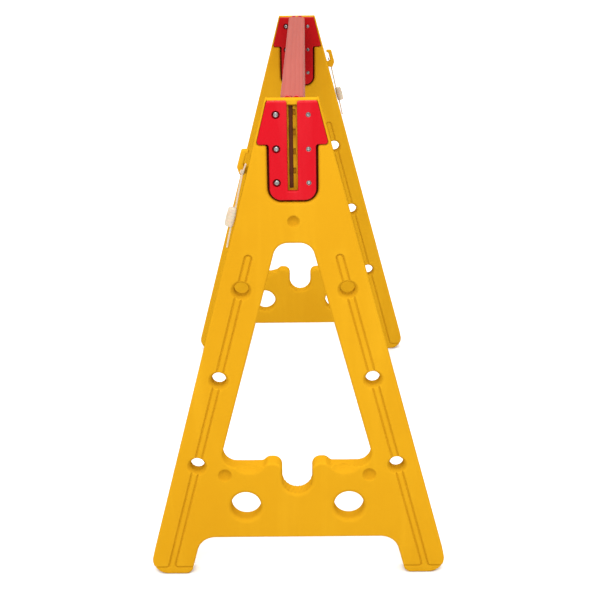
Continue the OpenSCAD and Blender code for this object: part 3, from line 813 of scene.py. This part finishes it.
def grip_shape():
    """A barrel with shallow grooves round it, its axis along the frame's edge."""
    side = []
    for z in np.linspace(0.8 - GRIP_HALF, GRIP_HALF - 0.8, 77):
        barrel = 6.8 + 1.2 * math.cos(math.radians(90 * z / GRIP_HALF))
        groove = sum(max(0.0, 1 - abs(z - at) / 1.1) ** 2 for at in (-8.4, -2.8, 2.8, 8.4))
        side.append((barrel - 0.55 * groove, z))
    points, polygons = turned_shape(
        [(0, -GRIP_HALF), (5.6, -GRIP_HALF), (6.4, 0.2 - GRIP_HALF), *side,
         (6.4, GRIP_HALF - 0.2), (5.6, GRIP_HALF), (0, GRIP_HALF)])
    lean = math.atan(LEAN)
    x = points[:, 0] * math.cos(lean) - points[:, 2] * math.sin(lean)
    z = points[:, 0] * math.sin(lean) + points[:, 2] * math.cos(lean)
    return np.stack([x + edge_x(GRIP_Z) + GRIP_OUT, points[:, 1] + sum(STAY_Y) / 2,
                     z + GRIP_Z], 1), polygons


for kind, shape, finish, slot in (("stay_hook", hook_shape(), YELLOW, "frame_plastic"),
                                  ("stay_strap", strap_shape(), STRAP, "strap_plastic"),
                                  ("strap_grip", grip_shape(), GRIP, "strap_plastic")):
    for end, steps in ENDS:
        make_piece(f"{end}_{kind}_moulding", *left_side(shape), finish, f"{end}_end",
                   [f"{end}_{kind}"], slot, placed(*steps))


# ---- beam ----


def beam_shape():
    """The board, lying along Y: each end is round on one face and notched for the lugs."""
    heel = -BACK_Y - PLATE_PROUD - 0.4
    right = [(heel, BEAM_BOTTOM_Z, 2.0)]
    for z in LUG_Z:
        low, high, inner = z - NOTCH_TALL, z + NOTCH_TALL, PIN_Y - NOTCH_IN
        right += [(heel, low, 0.0), (inner, low, 0.0), (inner, high, 0.0), (heel, high, 0.0)]
    outline = Loop(both_sides(right + [(heel, TOP_Z, 2.0)]), edge=(0.4, 0.4))
    features = []
    for angle in (0, 15, 30, 45, 60, 72, 82, 90):
        y = PIN_Y + BEAM_HALF * math.sin(math.radians(angle))
        features.append((box_loop(-y, y, BEAM_BOTTOM_Z - 9, TOP_Z + 9), (0.0,)))
    for share in ROUND[1:]:
        inset = BEAM_ARRIS * share
        features.append((box_loop(-heel - 9, heel + 9, BEAM_BOTTOM_Z + inset, TOP_Z - inset),
                         (0.0,)))

    def face(sign):
        def depth(p):
            past = np.clip(sign * p[:, 0] - PIN_Y, 0, BEAM_HALF)
            end = BEAM_HALF - np.sqrt(np.maximum(BEAM_HALF**2 - past**2, 0))
            arris = rim(np.minimum(TOP_Z - p[:, 1], p[:, 1] - BEAM_BOTTOM_Z), BEAM_ARRIS)
            return np.minimum(end + arris, BEAM_HALF)
        return depth

    points, polygons = panel(outline, [], features, (-BEAM_HALF, BEAM_HALF), (face(1), face(-1)),
                             grid=22.0, longest=22.0)
    return points[:, [1, 0, 2]] * [-1, 1, 1], polygons


make_piece("timber_board", *beam_shape(), TIMBER, "beam", ["beam"], "timber", placed())


# ---- CAD nodes that keep their shape get their finish and softened edges ----

SLOT_FINISH = {"timber": TIMBER, "frame_plastic": YELLOW, "bracket_plastic": RED,
               "steel": STEEL, "leaf_paint": LEAF, "nylon": NYLON, "strap_plastic": STRAP}
for row in frame["record"]["subparts"]:
    node = frame["nodes"][row["node"]]
    for slot in node.material_slots:
        slot.material = SLOT_FINISH[row["material_slot"]]
for end, _ in ENDS:
    for kind, width in (("hinge_leaf", 0.5), ("hinge_pin", 0.6), ("thrust_washers", 0.15),
                        ("pin_keeper", 0.5)):
        node = frame["nodes"][f"{end}_{kind}"]
        node.modifiers.new("closed", "WELD").merge_threshold = 0.01 * MM
        bevel = node.modifiers.new("soft edges", "BEVEL")
        bevel.width, bevel.segments = width * MM, 3
        bevel.limit_method, bevel.angle_limit = "ANGLE", math.radians(40)
        node.modifiers.new("even shading", "WEIGHTED_NORMAL").keep_sharp = True


# ---- floor, light and camera ----

floor_mesh = bpy.data.meshes.new("floor")
bm = bmesh.new()
bmesh.ops.create_grid(bm, x_segments=2, y_segments=2, size=30.0)
bm.to_mesh(floor_mesh)
bm.free()
floor = bpy.data.objects.new("floor", floor_mesh)
floor.location.z = cad_box[0].z - 0.0005
bpy.context.scene.collection.objects.link(floor)
f = Finish("pale_floor", Specular_IOR_Level=0.1)
tone = f.blend(f.scaled(f.noise(1.5, 3.0), 0.3, 0.7, 0, 1), (0.66, 0.66, 0.66), (0.68, 0.68, 0.68))
floor_mesh.materials.append(
    f.finish(tone, f.scaled(f.noise(20.0), 0, 1, 0.7, 0.8), [(f.noise(40.0), 0.2, 0.05)]))

# The studio's light is even at the horizon and grows towards the zenith.
world = bpy.data.worlds.new("studio")
world.use_nodes = True
tree = world.node_tree
sky = tree.nodes.new("ShaderNodeTexCoord").outputs["Generated"]
height = tree.nodes.new("ShaderNodeSeparateXYZ")
tree.links.new(sky, height.inputs["Vector"])
brighter = tree.nodes.new("ShaderNodeMapRange")
tree.links.new(height.outputs["Z"], brighter.inputs["Value"])
for socket, value in (("From Min", 0.0), ("From Max", 1.0), ("To Min", 1.0), ("To Max", 2.7)):
    brighter.inputs[socket].default_value = value
brighter.interpolation_type = "SMOOTHSTEP"
tree.links.new(brighter.outputs["Result"], tree.nodes["Background"].inputs["Strength"])
tree.nodes["Background"].inputs["Color"].default_value = (1.0, 1.0, 1.0, 1)
bpy.context.scene.world = world


KEY_AT, KEY_AIM = Vector((-0.15, -2.5, 2.5)), Vector((0, -0.4, 0.75))
key = bpy.data.lights.new("key", "AREA")
key.shape, key.size, key.size_y, key.energy = "RECTANGLE", 1.3, 1.0, 47
light = bpy.data.objects.new("key", key)
light.location = KEY_AT
light.rotation_euler = (KEY_AIM - KEY_AT).to_track_quat("-Z", "Y").to_euler()
bpy.context.scene.collection.objects.link(light)

CAMERA_AT = Vector((0.027, -2.491, 1.226))
PITCH, YAW, ROLL = (math.radians(a) for a in (19.83, 0.53, -0.74))
forward = Vector((-math.sin(YAW) * math.cos(PITCH), math.cos(YAW) * math.cos(PITCH),
                  -math.sin(PITCH)))
right = Vector((math.cos(YAW), math.sin(YAW), 0))
up = right.cross(forward)
turned = (math.cos(ROLL) * right + math.sin(ROLL) * up,
          math.cos(ROLL) * up - math.sin(ROLL) * right, -forward)
camera_data = bpy.data.cameras.new("camera")
camera_data.sensor_width, camera_data.lens = 36.0, 73.68
camera = bpy.data.objects.new("camera", camera_data)
bpy.context.scene.collection.objects.link(camera)
camera.matrix_world = Matrix.Translation(CAMERA_AT) @ Matrix(turned).transposed().to_4x4()
bpy.context.scene.camera = camera
bpy.context.scene.view_settings.view_transform = "Standard"
